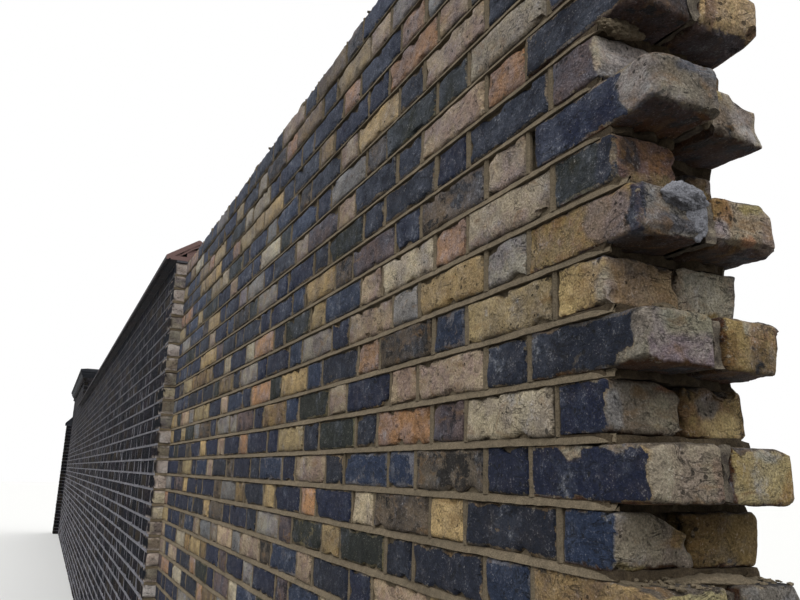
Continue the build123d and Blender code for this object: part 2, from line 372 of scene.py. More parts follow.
new_brick = stock_brick("clamp_fired_stock_brick", 0.20, 0.26, "#7d7260", stain=0.55, grit_show=0.45, sheen=0.28)
old_brick = stock_brick("sooted_stock_brick", 0.28, 0.05, "#56554f", stain=0.12, grit_show=0.16, sheen=0.04)
new_mortar = sand_mortar("struck_sand_mortar", "#80735f", "#6c6251", stain=0.20, fade=0.12)
old_mortar = sand_mortar("weathered_lime_mortar", "#8e8e95", "#717076", stain=0.24, fade=0.60)
grey_mortar = sand_mortar("hard_grey_mortar", "#8f9096", "#74757b", stain=0.30, fade=0.0)
# Darker than the struck mortar: the dirt of broken beds, and painted shade for the beds set back under the teeth
bed_mortar_dirt_and_painted_shade = sand_mortar("broken_bed_mortar", "#5f5341", "#463c30", stain=0.30, fade=0.10)
collar_mortar = sand_mortar("weathered_collar_mortar", "#7f7667", "#4f4842", stain=0.35, fade=0.10)
dark_clay = weathered_block("fired_clay_coping", "#1f2027", "#322b2c", 130.0, "#4c4b47", 0.5, 2.5, "#7d6460")
cap_rock = weathered_block("sooted_cap_stone", "#1e2127", "#33353a", 220.0, "#54554f", 0.5, 2.0)


def as_mesh(bm, name):
    """The mesh that was built, which frees the builder."""
    mesh = bpy.data.meshes.new(name)
    bm.to_mesh(mesh)
    bm.free()
    return mesh


def new_object(name, data):
    """An object with this data, linked into the scene."""
    made = bpy.data.objects.new(name, data)
    bpy.context.scene.collection.objects.link(made)
    return made


def finish_piece(bm, name, material, slot, *nodes, smooth=True, outward=False):
    """A finished mesh, kept within the wall's own size, as a piece that stands for its CAD nodes.
    The faces of plain meshes are turned outward first where they were put together from parts."""
    if outward:
        bmesh.ops.recalc_face_normals(bm, faces=bm.faces)
    for v in bm.verts:
        v.co = [min(max(v.co[i], cad_low[i]), cad_high[i]) for i in range(3)]
    mesh = as_mesh(bm, name)
    mesh.materials.append(material)
    if smooth:
        mesh.polygons.foreach_set("use_smooth", [True] * len(mesh.polygons))
        mesh.set_sharp_from_angle(angle=math.radians(smooth_degrees))
    piece = new_object(name, mesh)
    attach(piece, "root")
    if nodes:
        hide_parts(*nodes)


def fresh_heap():
    """An empty mesh whose vertices carry their clay, cloud and skin colours, a pattern shift and wear."""
    heap = bmesh.new()
    for layer in ("body", "blush", "skin"):
        heap.verts.layers.float_color.new(layer)
    for layer in ("shift", "wear"):
        heap.verts.layers.float_vector.new(layer)
    return heap


def pour(heap, bm):
    """Moves a finished part into the heap."""
    part = as_mesh(bm, "part")
    heap.from_mesh(part, face_normals=False, vertex_normals=False)
    bpy.data.meshes.remove(part)


def fired(name, draw, least=0.80, most=1.20):
    """The three colours of one brick of a firing, a little lighter, darker or warmer than the next."""
    body, blush, skin, cover = firings[name]
    lift = draw.uniform(least, most)
    warm = draw.uniform(-0.05, 0.05)
    tones = []
    for hue in (body, blush, skin):
        tone = linear(hue)
        tones.append([tone[0] * lift * (1 + warm), tone[1] * lift, tone[2] * lift * (1 - warm), 1.0])
    tones[2][3] = min(1.0, max(0.0, cover + draw.uniform(-0.12, 0.12)))
    return tones


def colour_vertex(bm, vertex, tones):
    for layer, tone in zip(("body", "blush", "skin"), tones):
        vertex[bm.verts.layers.float_color[layer]] = tone


def runs_along(edge, axis):
    return abs(edge.verts[0].co[axis] - edge.verts[1].co[axis]) > touch


def split_edges(bm, edges, cuts):
    bmesh.ops.subdivide_edges(bm, edges=edges, cuts=cuts, use_grid_fill=True)


def turned(degrees, axis):
    return Matrix.Rotation(math.radians(degrees), 4, axis)


class FacingBlank:
    """A brick in the wall: only the face that shows is shaped, with a worn margin round it."""

    def __init__(self, length, columns, rows, seed, rough):
        self.length = length
        bm = bmesh.new()
        block(bm, (-length / 2, arris_drop, -brick_height / 2),
              (length / 2, arris_drop + facing_depth, brick_height / 2))
        self.cut(bm, columns, 2)
        self.cut(bm, rows, 0)
        bm.normal_update()
        front = [f for f in bm.faces if f.normal.y < -0.9]
        bmesh.ops.inset_region(bm, faces=front, thickness=arris_margin, depth=arris_drop, use_even_offset=True)
        offset = Vector((seed * 3.7, seed * 1.3, seed * 2.1))
        self.wear = []
        for v in bm.verts:
            ends = max(0.0, length / 2 - abs(v.co.x))
            beds = max(0.0, brick_height / 2 - abs(v.co.z))
            if v.co.y < facing_depth / 2:
                sway = noise.noise_vector(v.co * 24 + offset) * 0.0026 * rough
                crook = noise.noise_vector(v.co * 65 + offset) * 0.0013 * rough
                bite = max(0.0, noise.noise(v.co * 33 + offset) - 0.22) * 0.016 * rough
                at_edge = 1.0 if min(ends, beds) < arris_margin * 1.5 else 0.3
                inward = Vector((-math.copysign(ends < 0.006, v.co.x), 0, -math.copysign(beds < 0.006, v.co.z)))
                v.co += Vector((sway.x * at_edge, sway.y + crook.y, sway.z * at_edge + crook.z * 0.5))
                v.co += inward * bite * at_edge + Vector((0, bite * at_edge, 0))
            self.wear.append((ends, beds, 0.0))
        bmesh.ops.recalc_face_normals(bm, faces=bm.faces)
        self.mesh = as_mesh(bm, "blank")

    @staticmethod
    def cut(bm, count, level_axis):
        """Cuts the front face into equal strips across the edges that are level on one axis."""
        if count > 1:
            front = [e for e in bm.edges if all(v.co.y < arris_drop * 1.5 for v in e.verts)]
            split_edges(bm, [e for e in front if not runs_along(e, level_axis)], count - 1)


class Mason:
    """Lays copies of brick blanks into a heap, each with its own firing and pattern. A fine one has a second
    set of blanks for the bricks near the teeth. Bricks beyond the place given as brown_before are browner."""

    def __init__(self, seed, mix, fine=False, brown_before=-math.inf):
        self.draw = random.Random(seed)
        self.mix = mix
        self.brown_before = brown_before
        self.heap = fresh_heap()
        self.near = {
            "stretcher": [FacingBlank(brick_length, 20, 6, seed + i, 1.15) for i in range(7)],
            "header": [FacingBlank(brick_width, 10, 6, seed + 20 + i, 1.15) for i in range(6)],
        } if fine else {}
        columns, rows = (8, 3) if fine else (3, 1)
        self.field = {
            "stretcher": [FacingBlank(brick_length, columns, rows, seed + 40 + i, 1.0) for i in range(8)],
            "header": [FacingBlank(brick_width, columns // 2, rows, seed + 60 + i, 1.0) for i in range(6)],
        }

    def lay(self, blank, matrix, tones):
        """A copy of the blank, coloured and set in its place."""
        bm = fresh_heap()
        bm.from_mesh(blank.mesh)
        bm.transform(matrix)
        shift_layer = bm.verts.layers.float_vector["shift"]
        wear_layer = bm.verts.layers.float_vector["wear"]
        shift = Vector([self.draw.uniform(-9, 9) for _ in range(3)])
        for vertex, worn in zip(bm.verts, blank.wear):
            colour_vertex(bm, vertex, tones)
            vertex[shift_layer] = shift
            vertex[wear_layer] = worn
        pour(self.heap, bm)

    def brick(self, kind, x, z, length, face):
        """One brick centred at x and z in a face, which gives the way it looks and its place."""
        blanks = self.near if self.near and x > line_x - near_reach else self.field
        blank = self.draw.choice(blanks[kind])
        draw = self.draw.uniform
        mix = brown_mix if x < self.brown_before else self.mix
        name = self.draw.choices(list(mix), list(mix.values()))[0]
        slack = Vector((draw(-0.0015, 0.0015), draw(-0.0012, 0.0016) + brick_inset, draw(-0.0014, 0.0014)))
        turn = turned(draw(-0.4, 0.4), "Y") @ turned(draw(-0.7, 0.7), "Z")
        if self.draw.random() < 0.5:
            turn = turn @ turned(180, "Y")
        grow = Matrix.Diagonal((length / blank.length, 1, 1, 1))
        self.lay(blank, face(x, z) @ Matrix.Translation(slack) @ turn @ grow, fired(name, self.draw))

    def course(self, z, high, low, header_first, *faces):
        """One course in bond in each of the faces, laid brick by brick; gives the ends of its bricks."""
        bricks = list(bond(high, low, header_first))
        for kind, start, end in bricks:
            for face in faces:
                self.brick(kind, (start + end) / 2, z, end - start, face)
        return [(start, end) for _, start, end in bricks]

    def finish(self, name, node):
        """The heap as a piece with the finish that its bricks have."""
        finish = (new_brick, "new_brickwork") if self.mix is new_mix else (old_brick, "old_brickwork")
        finish_piece(self.heap, name, *finish, node)


def front_face(y):
    """Bricks in this face look to the front."""
    return lambda x, z: Matrix.Translation((x, y, z))


def garden_face(y):
    """Bricks in this face look to the garden."""
    return lambda x, z: Matrix.Translation((x, y, z)) @ turned(180, "Z")


def end_face(x, side):
    """Bricks in this face look along the wall; their own x is read across it."""
    return lambda y, z: Matrix.Translation((x, y, z)) @ turned(90 * side, "Z")


def bond(high, low, header_first):
    """Kinds and ends of the bricks in one course, laid from the high end and cut to fit the low one."""
    header = header_first
    end = high
    while end - low > least_piece:
        length = brick_width if header else brick_length
        start = max(low, end - length)
        if start - perpend - low < least_closer:
            start = low
        kind = "header" if end - start < header_limit else "stretcher"
        yield kind, start, end
        end = start - perpend
        header = not header


def course_z(course):
    return course * gauge + brick_height / 2

def bed_foot(course):
    """The foot of the bed joint that lies on a course."""
    return course * gauge + brick_height


def build_new_bricks():
    """The plain bond behind the teeth and the bats; gives the places of its upright joints."""
    front, garden = Mason(11, new_mix, fine=True), Mason(12, new_mix)
    joints = []
    for course in range(new_courses):
        start = line_x - (bat_setback + bat_length + bat_gap if course % 2 else tooth_seat) - perpend
        span = course_z(course), start, new_low.x, course % 2 == 0
        joints += [(high + perpend / 2, course) for _, high in front.course(*span, front_face(front_y))]
        garden.course(*span, garden_face(new_high.y))
    front.finish("new_wall_front_bricks", "new_wall")
    garden.finish("new_wall_garden_bricks", "new_wall")
    return joints


def block(bm, low, high):
    """A plain block between two corners."""
    made = bmesh.ops.create_cube(bm, size=1)["verts"]
    low, high = Vector(low), Vector(high)
    bmesh.ops.scale(bm, vec=high - low, verts=made)
    bmesh.ops.translate(bm, vec=(low + high) / 2, verts=made)


def build_core(name, node, material, low, high):
    """The mass of mortar behind the bricks of a node."""
    bm = bmesh.new()
    block(bm, low, high)
    finish_piece(bm, name, material, "mortar", node, smooth=False)


def struck_bar(heap, x0, x1, course, y, step, fray=0.0, press=1.0):
    """A bed joint struck with a trowel: pressed in under the brick above and standing at its foot."""
    bar = bmesh.new()
    z0, z1 = bed_foot(course), bed_foot(course) + bed
    block(bar, (x0, y, z0), (x1, y + struck_back, z1))
    split_edges(bar, [e for e in bar.edges if runs_along(e, 0)], max(2, int((x1 - x0) / step)) - 1)
    front = [e for e in bar.edges if all(abs(v.co.y - y) < touch for v in e.verts)]
    split_edges(bar, [e for e in front if runs_along(e, 2)], 1)
    middle = (z0 + z1) / 2
    for v in bar.verts:
        if v.co.y > y + struck_back / 2:
            continue
        waver = noise.noise_vector(Vector((v.co.x * 9, middle * 40, y * 3)))
        rough = noise.noise_vector(Vector((v.co.x * 48, v.co.z * 90, y * 5)))
        worn = max(0.0, 1 - (x1 - v.co.x) / fray) ** 1.5 if fray else 0.0
        if v.co.z > middle + 1e-5:
            v.co.y += struck_top * press
            v.co.z += waver.z * 0.0016 + rough.z * 0.0012 - worn * 0.002
        elif v.co.z < middle - 1e-5:
            v.co.y += struck_foot + waver.y * 0.0006
            v.co.z += waver.x * 0.0016 + rough.x * 0.0012 + worn * 0.0015
        else:
            v.co.y += struck_middle + waver.y * 0.0005
        v.co.y += rough.y * 0.0006 + worn * (0.006 + rough.z * 0.005)
    pour(heap, bar)


def perpend_bar(heap, x, course, y, draw, widths, cuts=2):
    """An upright joint between two bricks, a little proud in its middle."""
    half = draw.uniform(*widths) / 2
    foot = course * gauge
    bar = bmesh.new()
    block(bar, (x - half, y, foot - 0.001), (x + half, y + struck_back, foot + brick_height + 0.001))
    front = [e for e in bar.edges if all(abs(v.co.y - y) < touch for v in e.verts)]
    split_edges(bar, [e for e in front if runs_along(e, 0)], 1)
    split_edges(bar, [e for e in bar.edges if runs_along(e, 2)], cuts)
    for v in bar.verts:
        if v.co.y < y + struck_back / 2:
            rough = noise.noise_vector(v.co * 50)
            v.co.y += struck_middle if abs(v.co.x - x) < 1e-5 else struck_top * 0.8
            v.co.x += rough.x * 0.0014
            v.co.y += rough.y * 0.0005
    pour(heap, bar)


def slice_evenly(bm, low, size, counts, dist=touch):
    """Cuts a block into equal slices along each axis."""
    for axis, count in enumerate(counts):
        normal = Vector([float(axis == i) for i in range(3)])
        for index in range(1, count):
            geometry = bm.verts[:] + bm.edges[:] + bm.faces[:]
            where = Vector(low) + normal * (size[axis] * index / count)
            bmesh.ops.bisect_plane(bm, geom=geometry, plane_co=where, plane_no=normal, dist=dist)


def rubbed_slab(heap, low, high, cells, seed, ragged_x, rise=0.0):
    """Mortar left behind: a slab whose top is lumpy and whose free end is broken."""
    bm = bmesh.new()
    block(bm, low, high)
    slice_evenly(bm, low, Vector(high) - Vector(low), cells)
    offset = Vector((seed * 1.7, seed * 0.9, seed * 2.9))
    for v in bm.verts:
        broad = noise.noise(v.co * 16 + offset)
        rough = noise.noise_vector(v.co * 55 + offset)
        if v.co.z > high[2] - touch:
            v.co.z += rise * (broad * 1.3 + rough.z * 0.6)
        if v.co.x > high[0] - ragged_x:
            v.co.x += ragged_x * (broad * 1.2 + rough.x * 0.8)
            v.co.z += rough.z * 0.0030 + broad * 0.0035
        if v.co.y > high[1] - 0.014:
            v.co.y -= 0.012 * max(0.0, 0.4 + broad + rough.y)
    pour(heap, bm)


def build_new_mortar(joints):
    """The mortar of the new length: its core, the raked beds between the teeth and the pointing."""
    draw = random.Random(21)
    bm = bmesh.new()
    core_y0, core_y1 = front_y + core_inset, new_high.y - core_inset
    heel = line_x - tooth_seat - 0.006
    toe = line_x - bat_setback - bat_length - 0.003
    block(bm, (new_low.x, core_y0, 0.001), (heel, core_y1, new_high.z - 0.004))
    for course in range(1, new_courses, 2):
        foot = course * gauge
        block(bm, (heel - 0.002, core_y0, foot - 0.002), (toe, core_y1, foot + brick_height + 0.002))
    finish_piece(bm, "new_wall_core", new_mortar, "mortar", "new_wall", smooth=False)

    bm = bmesh.new()
    split = line_x - near_reach
    for course in range(new_courses - 1):
        toe = line_x - draw.uniform(0.000, 0.008)
        if course == uneven_course - 1:
            toe = line_x + 0.034
        struck_bar(bm, new_low.x, split, course, front_y, new_step)
        struck_bar(bm, split, toe, course, front_y, near_step, fray=0.04)
    for x, course in joints:
        perpend_bar(bm, x, course, front_y, draw, near_widths if x > split else new_widths)
    finish_piece(bm, "new_wall_pointing", new_mortar, "mortar", "new_wall", outward=True)

    bm, collars = bmesh.new(), bmesh.new()
    for course in range(new_courses):
        foot = course * gauge
        low = bed_foot(course) - 0.0005
        top = low + bed + 0.001
        fine = 2 if course in fine_bed_courses else 1
        flush = course % 2 == 0
        if course < new_courses - 1:
            toe = -draw.uniform(0.006, 0.010) if flush else -draw.uniform(0.012, 0.020)
            middle = wall_thickness - 0.003
            if course in (uneven_course - 1, uneven_course):
                toe, middle = 0.014, brick_width
            if course == uneven_course:
                rubbed_slab(bm, at(-bed_depth, middle, low), at(-0.036, wall_thickness - 0.003, top),
                            (14, 20, 2), course + 9, 0.012)
            rubbed_slab(bm, at(-bed_depth, 0.004, low), at(toe, middle, top),
                        (9 * fine, 16 * fine, 2), course, 0.010 if flush else 0.016)
            if course == uneven_course - 1:
                rubbed_slab(bm, at(-bed_depth, middle, low), at(-0.012, wall_thickness - 0.004, top + 0.011),
                            (16, 18, 4), course + 7, 0.016, rise=0.010)
        if flush:
            toe = tooth - draw.uniform(0.003, 0.009)
            rubbed_slab(collars, at(-bed_depth, brick_width + 0.005, foot + 0.003),
                        at(toe, wall_thickness - brick_width + 0.003, foot + brick_height - 0.004),
                        (14 * fine, 3 * fine, 9 * fine), course + 40, 0.006, rise=0.004)
        else:
            toe = -draw.uniform(0.045, 0.065)
            rubbed_slab(bm, at(-bed_depth, 0.07, foot), at(toe, wall_thickness - 0.07, foot + brick_height),
                        (8, 8, 6), course + 80, 0.025)
    finish_piece(bm, "toothing_beds", bed_mortar_dirt_and_painted_shade, "mortar", "new_wall", outward=True)
    finish_piece(collars, "collar_joints", collar_mortar, "mortar", "new_wall", outward=True)


whole_blanks = {}


def whole_brick(length, width, cell):
    """A whole brick cut fine enough to be worn on every side, centred on the origin."""
    key = (length, width, cell)
    if key not in whole_blanks:
        size = Vector((length, width, brick_height))
        bm = fresh_heap()
        block(bm, -size / 2, size / 2)
        slice_evenly(bm, -size / 2, size, [round(s / cell) for s in size], dist=slice_touch)
        whole_blanks[key] = as_mesh(bm, "whole_blank")
    bm = fresh_heap()
    bm.from_mesh(whole_blanks[key])
    return bm


def weather(bm, half, seed, draw, warp, lumpy, chips, breaks):
    """Wears a centred brick: out of true, rounded at its arrises, broken at the free end and lumpy."""
    offset = Vector((seed * 2.3, seed * 0.7, seed * 4.1))
    wear_layer = bm.verts.layers.float_vector["wear"]
    skew_y, skew_z = draw.uniform(-0.07, 0.07), draw.uniform(-0.10, 0.10)
    bm.normal_update()
    for v in bm.verts:
        p = v.co.copy()
        edge = sorted(max(0.0, half[i] - abs(p[i])) for i in range(3))[1]
        raw = 0.0
        free = min(1.0, max(0.0, (p.x + half[0] * 0.2) / half[0]))
        radius = (0.0026 + 0.0034 * free) * (1 + 0.8 * noise.noise(p * 17 + offset))
        radius += 0.006 * max(0.0, noise.noise(p * 58 + offset) - 0.12)
        core = Vector([min(max(p[i], radius - half[i]), half[i] - radius) for i in range(3)])
        out = p - core
        if out.length > radius:
            p = core + out * (radius / out.length)
        for normal, reach in breaks:
            over = normal.dot(p) - reach - 0.003 * noise.noise(p * 40 + offset)
            if over > 0:
                p -= normal * over
                raw = 0.3
        for centre, size in chips:
            gap = p - centre
            rough = size * (1 + 0.35 * noise.noise(p * 80 + offset))
            if gap.length < rough:
                p = centre + gap.normalized() * rough
                raw = 0.4
        p += noise.noise_vector(v.co * 8 + offset) * warp
        p.x += free * (skew_y * p.y + skew_z * p.z)
        p += v.normal * (lumpy * noise.noise(v.co * 42 + offset) + 0.0007 * noise.noise(v.co * 130 + offset))
        v.co = p
        v[wear_layer] = (max(edge, 0.003), max(edge, 0.003), raw)


def paint(bm, half, names, draw, seed, patches=()):
    """Gives each side of a centred brick its own firing, and patches of it another, all with ragged edges."""
    offset = Vector((seed * 1.9, seed * 3.1, seed * 0.3))
    shift_layer = bm.verts.layers.float_vector["shift"]
    shift = Vector([draw.uniform(-9, 9) for _ in range(3)])
    sides = {"front": (1, -1), "garden": (1, 1), "end": (0, 1), "back": (0, -1), "top": (2, 1), "under": (2, -1)}
    tones = {side: fired(names[side], draw, 0.94, 1.08) for side in sides}
    spots = [(Vector(centre) / 1000, size, fired(name, draw, 0.96, 1.06)) for centre, size, name in patches]
    for v in bm.verts:
        ragged = noise.noise_vector(v.co * 60 + offset) * 0.005
        gaps = {s: half[a] - sign * v.co[a] + sign * ragged[a] for s, (a, sign) in sides.items()}
        tone = tones[min(gaps, key=gaps.get)]
        fray = noise.noise_vector(v.co * 75 + offset) * 0.005 + noise.noise_vector(v.co * 28 + offset) * 0.007
        for centre, size, spot in spots:
            gap = v.co + fray - centre
            far = sum(abs(1000 * gap[i] / size[i]) ** 2.5 for i in range(3))
            share = min(1.0, max(0.0, (1.25 - far) / 0.6))
            tone = [[a + (b - a) * share for a, b in zip(old, new)] for old, new in zip(tone, spot)]
        colour_vertex(bm, v, tone)
        v[shift_layer] = shift


# How the bricks of the toothed end were fired, by course from the foot: the face, the end, and the rear one's end
tooth_firings = {
    16: ("umber", "end_yellow", "end_yellow"),
    18: ("ochre", "end_yellow", "end_grey"),
    20: ("blue_black", "end_stone", "end_yellow"),
    22: ("charcoal", "end_mauve", "end_ochre"),
    24: ("end_ochre", "end_grey", "end_cream"),
    26: ("blue_black", "end_tan", "end_stone"),
    28: ("charcoal", "end_burnt", "end_sand"),
}
bat_firings = {
    17: ("charcoal", "end_grey", "end_ochre"),
    19: ("slate", "end_stone", "end_pitted"),
    21: ("blue_black", "end_tan", "end_ochre"),
    23: ("end_straw", "end_clay", "end_cream"),
    25: ("green_black", "end_orange", "end_ochre"),
    27: ("plum", "end_stone", "end_ochre"),
}
end_choice = ("end_stone", "end_mauve", "end_grey", "end_cream", "end_ochre", "end_yellow", "end_tan")

# Marks on single bricks, by course and 0 for the front or 1 for the rear one. Places are in mm
# from the brick's centre: x to its free end, y to the garden and z up. A break is a direction and the reach
# it leaves, a bite a centre and a radius, a patch a centre, half sizes and a firing.
tooth_breaks = {
    (18, 0): [((0.3, -0.2, 0.93), 61)],
    (20, 0): [((0.3, 0.6, 0.74), 82)],
    (20, 1): [((0.3, 0.2, 0.93), 66)],
    (22, 0): [((0.25, 0.45, 0.857), 71), ((0.25, -0.5, -0.83), 73)],
    (22, 1): [((0.35, 0.85, -0.4), 73), ((0.2, 0.5, 0.84), 68)],
    (24, 1): [((0.35, 0.62, 0.7), 80), ((0.5, 0.0, -0.866), 73), ((0.7, 0.7, 0.0), 107)],
    (26, 0): [((0.35, -0.45, -0.82), 80), ((0.5, 0.0, -0.866), 80), ((0.3, 0.65, 0.7), 83)],
    (26, 1): [((0.5, 0.2, 0.84), 78), ((0.96, 0.2, 0.1), 107)],
    (28, 0): [((0.5, -0.45, -0.74), 84)],
    (28, 1): [((0.5, 0.15, -0.85), 77), ((0.6, 0.7, -0.4), 108)],
}
tooth_bites = {
    (20, 0): [((-28, -60, 34), 16), ((108, 56, 38), 12)],
    (22, 1): [((112, 57, 9), 17), ((112, 4, -27), 7), ((113, -9, -2), 5)],
    (24, 0): [((114, -30, -40), 13)],
    (24, 1): [((112, 12, 5), 5)],
    (26, 0): [((116, 46, -38), 14)],
    (26, 1): [((104, -50, 20), 11), ((115, -14, -27), 9), ((113, -34, -36), 13)],
    (28, 1): [((112, 44, -22), 14)],
}
# The near-black patches, and the dark brown patch of course 22's rear brick, are painted shade inside bites
tooth_patches = {
    (20, 0): [((112, -42, 0), (14, 14, 38), "end_green"), ((112, 44, -8), (16, 13, 26), "end_dun"),
              ((-26, -52, 26), (24, 9, 16), "end_cream"), ((20, -54, 31), (80, 6, 5), "end_stone")],
    (20, 1): [((112, 10, 24), (14, 30, 6), "end_cream"), ((112, 40, -20), (14, 12, 12), "end_ochre")],
    (22, 0): [((112, 14, 24), (16, 50, 22), "end_green"), ((104, -52, 2), (16, 8, 32), "end_stone"),
              ((88, -54, -24), (30, 8, 13), "end_stone")],
    (22, 1): [((112, -12, 24), (14, 11, 9), "end_cream"), ((112, -44, -6), (14, 9, 24), "end_pitted"),
              ((112, 8, -14), (14, 22, 19), "end_pitted"), ((110, 47, 4), (16, 10, 17), "underside"),
              ((110, 4, -24), (8, 6, 5), "hole"), ((112, -9, -2), (6, 4, 3), "hole")],
    (24, 0): [((52, -54, 4), (46, 9, 34), "end_dun"), ((107, -51, 0), (10, 11, 60), "end_plum"),
              ((113, 6, -16), (14, 34, 12), "end_slate"), ((113, 46, -8), (12, 9, 26), "end_stone"),
              ((112, -28, -31), (12, 15, 5), "end_ochre"), ((112, -14, 22), (12, 14, 10), "end_tan")],
    (24, 1): [((112, -38, 14), (16, 15, 24), "end_ochre"), ((112, -42, -16), (16, 12, 17), "end_mauve"),
              ((112, 2, -20), (16, 13, 9), "end_pink"), ((110, 40, -12), (18, 15, 22), "end_white"),
              ((108, 12, 25), (20, 26, 8), "end_yellow"), ((112, 12, 5), (7, 5, 4), "hole")],
    (26, 0): [((90, -57, 3), (34, 13, 33), "end_white"), ((119, -28, 8), (12, 26, 26), "end_tan"),
              ((116, 24, 25), (18, 36, 10), "end_slate"),
              ((118, -22, -12), (14, 30, 12), "end_stone"), ((118, 28, 2), (14, 16, 10), "end_tan")],
    (26, 1): [((112, -34, 4), (20, 22, 30), "end_tan"), ((112, -38, 24), (20, 16, 12), "end_yellow"),
              ((110, 22, -4), (22, 30, 30), "end_white"), ((112, -14, -26), (8, 6, 8), "hole")],
    (28, 1): [((112, -30, -10), (16, 12, 30), "end_ochre")],
}
bat_breaks = {
    (19, 0): [((0.1, 0.47, 0.87), 34)],
    (21, 0): [((0.3, 0.3, 0.9), 48)],
    (25, 0): [((0.2, 0.6, 0.77), 59)],
    (25, 1): [((0.62, -0.78, 0.1), 17)],
    (27, 0): [((0.3, 0.3, 0.9), 52)],
}
bat_bites = {
    (19, 0): [((40, 47, -27), 13), ((34, 50, 32), 14)],
    (19, 1): [((50, 6, -22), 7), ((50, 16, -22), 6)],
    (21, 0): [((42, 48, -37), 14)],
    (21, 1): [((48, 28, 34), 13), ((49, -44, 20), 5)],
    (23, 0): [((50, -38, -20), 9)],
    (25, 1): [((38, 12, 26), 8)],
}
# The near-black patches are painted shade inside the bats' bites
bat_patches = {
    (19, 0): [((47, 38, 2), (9, 12, 12), "end_ochre"), ((47, -20, -30), (9, 28, 4), "end_yellow")],
    (19, 1): [((48, 12, -22), (6, 9, 4), "hole")],
    (21, 0): [((47, -42, 0), (10, 10, 26), "ash"), ((47, 34, 24), (9, 20, 8), "end_orange"),
              ((47, 26, -4), (9, 26, 20), "end_green")],
    (21, 1): [((48, 4, -16), (12, 40, 17), "end_straw"), ((48, -14, 8), (12, 24, 14), "end_stone"),
              ((48, 18, 28), (9, 28, 9), "end_pitted"), ((49, -44, 20), (6, 4, 5), "hole")],
    (23, 0): [((44, -48, -10), (18, 16, 24), "end_cream"), ((48, -42, -14), (9, 14, 16), "end_white")],
    (23, 1): [((48, 0, -28), (9, 50, 6), "end_ochre")],
    (25, 0): [((50, -56, 0), (26, 10, 60), "charcoal"), ((60, 12, -26), (12, 44, 12), "end_ochre"),
              ((60, -26, 6), (12, 18, 26), "end_burnt")],
    (25, 1): [((36, 46, 22), (10, 7, 16), "end_white")],
    # The pale patch on this bat's end is painted light over the shade under the tooth and the roll
    (27, 0): [((42, -52, 4), (9, 8, 26), "end_cream"), ((48, 0, 8), (12, 50, 26), "worn_buff")],
}
tooth_by_eye = (tooth_breaks, tooth_bites, tooth_patches)
bat_by_eye = (bat_breaks, bat_bites, bat_patches)


def end_firings(table, course, draw):
    """The firing of one course's brick pair, listed where it stands at eye level."""
    drawn = (draw.choice(("blue_black", "charcoal", "umber", "plum", "slate")),
             draw.choice(end_choice), draw.choice(end_choice))
    return table.get(course, drawn)


def broken_corners(half, draw, count, deep=0.016):
    """Flat breaks that take corners and arrises off the free end, each a direction and how far it leaves."""
    breaks = []
    for _ in range(count):
        normal = Vector((draw.uniform(0.35, 1.0), draw.choice((-1, 1)) * draw.uniform(0.0, 0.9),
                         draw.choice((-1, 1)) * draw.uniform(0.25, 1.0))).normalized()
        support = sum(abs(normal[i]) * half[i] for i in range(3))
        breaks.append((normal, support - draw.uniform(0.005, deep)))
    return breaks


def bites(half, draw, count):
    """Round bites out of the arrises of the brick's free end."""
    chips = []
    for _ in range(count):
        radius = draw.uniform(0.008, 0.020)
        x = half[0] + draw.uniform(-0.04, 0.006)
        y = draw.choice((-1, 1)) * half[1]
        z = draw.choice((-1, 1)) * half[2]
        if draw.random() < 0.5:
            y = draw.uniform(-half[1], half[1])
        out = Vector((0.6, math.copysign(0.4, y), math.copysign(0.7, z))).normalized()
        chips.append((Vector((x, y, z)) + out * radius * 0.5, radius))
    return chips


def lump(heap, centre, size, seed, ribs=0.0, detail=5):
    """A knob of mortar, left as it was squeezed out and dried."""
    bm = bmesh.new()
    bmesh.ops.create_icosphere(bm, subdivisions=detail, radius=1)
    shift = Vector((seed, seed * 0.4, 0))
    for v in bm.verts:
        out = v.co.copy()
        rib = ribs * math.sin(out.y * 15 + 3 * noise.noise(out * 2 + shift))
        p = Vector([out[i] * size[i] for i in range(3)]) * (1 + 0.26 * noise.noise(out * 1.4 + shift) + rib)
        least = min(size)
        p += out * least * (0.30 * noise.noise(p * 110 + shift) + 0.16 * noise.noise(p * 300 + shift))
        p += out * least * 0.07 * noise.noise(p * 800 + shift)
        v.co = p + Vector(centre)
    pour(heap, bm)


def crumbs(heap, low, high, count, draw, largest=0.0045):
    """Grit and broken mortar lying where it fell."""
    for _ in range(count):
        radius = draw.uniform(0.0014, largest)
        centre = [draw.uniform(low[i], high[i]) for i in range(3)]
        size = [radius * draw.uniform(0.8, 1.7), radius * draw.uniform(0.8, 1.7), radius * 0.7]
        lump(heap, centre, size, draw.uniform(0, 90), detail=1)


def brick_cell(course):
    """How fine a brick of the end is cut: finest at eye level."""
    if course in eye_courses:
        return eye_cell
    return near_cell if course in near_courses else far_cell


def mirrored(place, side):
    return Vector((place[0], place[1] * side, place[2]))


